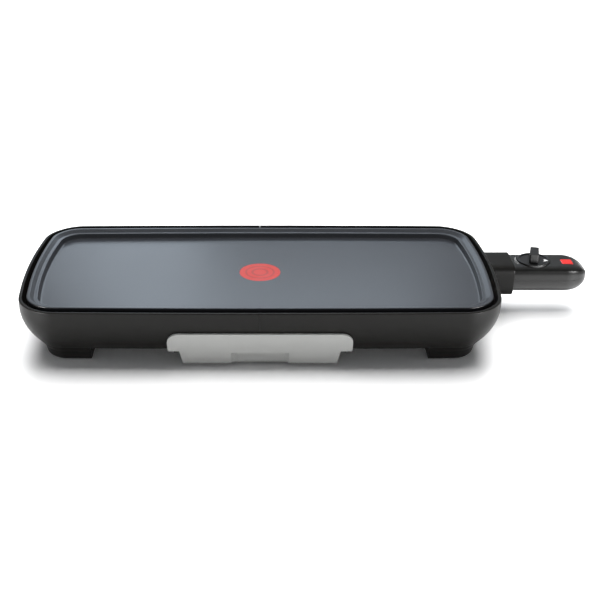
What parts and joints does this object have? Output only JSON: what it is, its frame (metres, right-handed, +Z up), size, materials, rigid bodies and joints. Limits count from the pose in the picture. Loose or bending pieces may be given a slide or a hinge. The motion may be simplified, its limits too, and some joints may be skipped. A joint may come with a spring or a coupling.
{
  "type": "electric griddle",
  "caption": "Table-top electric griddle: split base on feet, lift-off cast plate with a step inside its rim, front drip tray and a plug-in thermostat with a rotary dial.",
  "frame": {"origin": "on the table, under the middle of the whole object's bounding box, so the griddle's own middle lies at X = -60 mm", "axes": "+Z up, +X towards the thermostat, -Y towards the drip tray's front"},
  "size_m": [0.6405, 0.2375, 0.07],
  "materials": {
    "base_plastic": "fine satin moulded PBT, near black",
    "runner_plastic": "plain moulded plastic",
    "zinc_steel": "zinc-plated pressed steel",
    "aluminised_steel": "aluminised sheet, dull mirror",
    "screw_steel": "zinc-plated screw",
    "pad_rubber": "matt rubber",
    "gland_rubber": "matt rubber",
    "nonstick_plate": "cast aluminium with a smooth dark blue-grey non-stick coating",
    "spot_red": "red printed heat spot under the non-stick coating",
    "element_steel": "steel tube, slightly heat-tinted",
    "contact_brass": "nickel-free brass",
    "bimetal": "rolled strip",
    "bush_ceramic": "unglazed steatite",
    "housing_plastic": "satin moulded plastic, near black",
    "dial_plastic": "satin moulded plastic",
    "phenolic": "moulded phenolic",
    "lamp_glass": "small neon lamp",
    "lens_red": "clear red moulded window",
    "tray_plastic": "light warm-grey moulded plastic"
  },
  "bodies": {
    "base": {"base_left": "base_plastic", "base_right": "base_plastic", "front_joint_plate": "zinc_steel", "rear_joint_plate": "zinc_steel", "joint_screws": "screw_steel", "foot_pads": "pad_rubber", "tray_runner_left": "runner_plastic", "tray_runner_right": "runner_plastic", "runner_screws": "screw_steel", "heat_reflector": "aluminised_steel", "reflector_screws": "screw_steel"},
    "plate": {"cooking_plate": "nonstick_plate", "heat_spot": "spot_red", "heating_element": "element_steel", "element_clamps": "zinc_steel", "clamp_screws": "screw_steel", "terminal_links": "zinc_steel", "terminal_pins": "contact_brass", "earth_pin": "contact_brass", "terminal_bushes": "bush_ceramic", "terminal_bracket": "zinc_steel", "bracket_screws": "screw_steel", "terminal_shroud": "base_plastic", "shroud_screws": "screw_steel"},
    "thermostat": {"housing_top": "housing_plastic", "housing_bottom": "housing_plastic", "housing_screws": "screw_steel", "contact_block": "phenolic", "contact_sleeves": "contact_brass", "probe_rod": "element_steel", "bimetal_arm": "bimetal", "switch_base": "phenolic", "switch_blades": "contact_brass", "indicator_lamp": "lamp_glass", "lamp_lens": "lens_red", "cord_gland": "gland_rubber"},
    "dial": {"dial_knob": "dial_plastic", "dial_spindle": "contact_brass", "spindle_clip": "zinc_steel"},
    "tray": {"drip_tray": "tray_plastic"}
  },
  "joints": [
    {"name": "plate_lift", "type": "slide", "parent": "base", "child": "plate", "axis": [0, 0, 1], "range_m": [0, 0.07]},
    {"name": "tray_slide", "type": "slide", "parent": "base", "child": "tray", "axis": [0, -1, 0], "range_m": [0, 0.17]},
    {"name": "thermostat_pull", "type": "slide", "parent": "plate", "child": "thermostat", "axis": [1, 0, 0], "range_m": [0, 0.1]},
    {"name": "dial_turn", "type": "hinge", "parent": "thermostat", "child": "dial", "pos_m": [0.258, 0.0405, 0.057], "axis": [0, 0, 1], "range_deg": [-60, 180]}
  ]
}
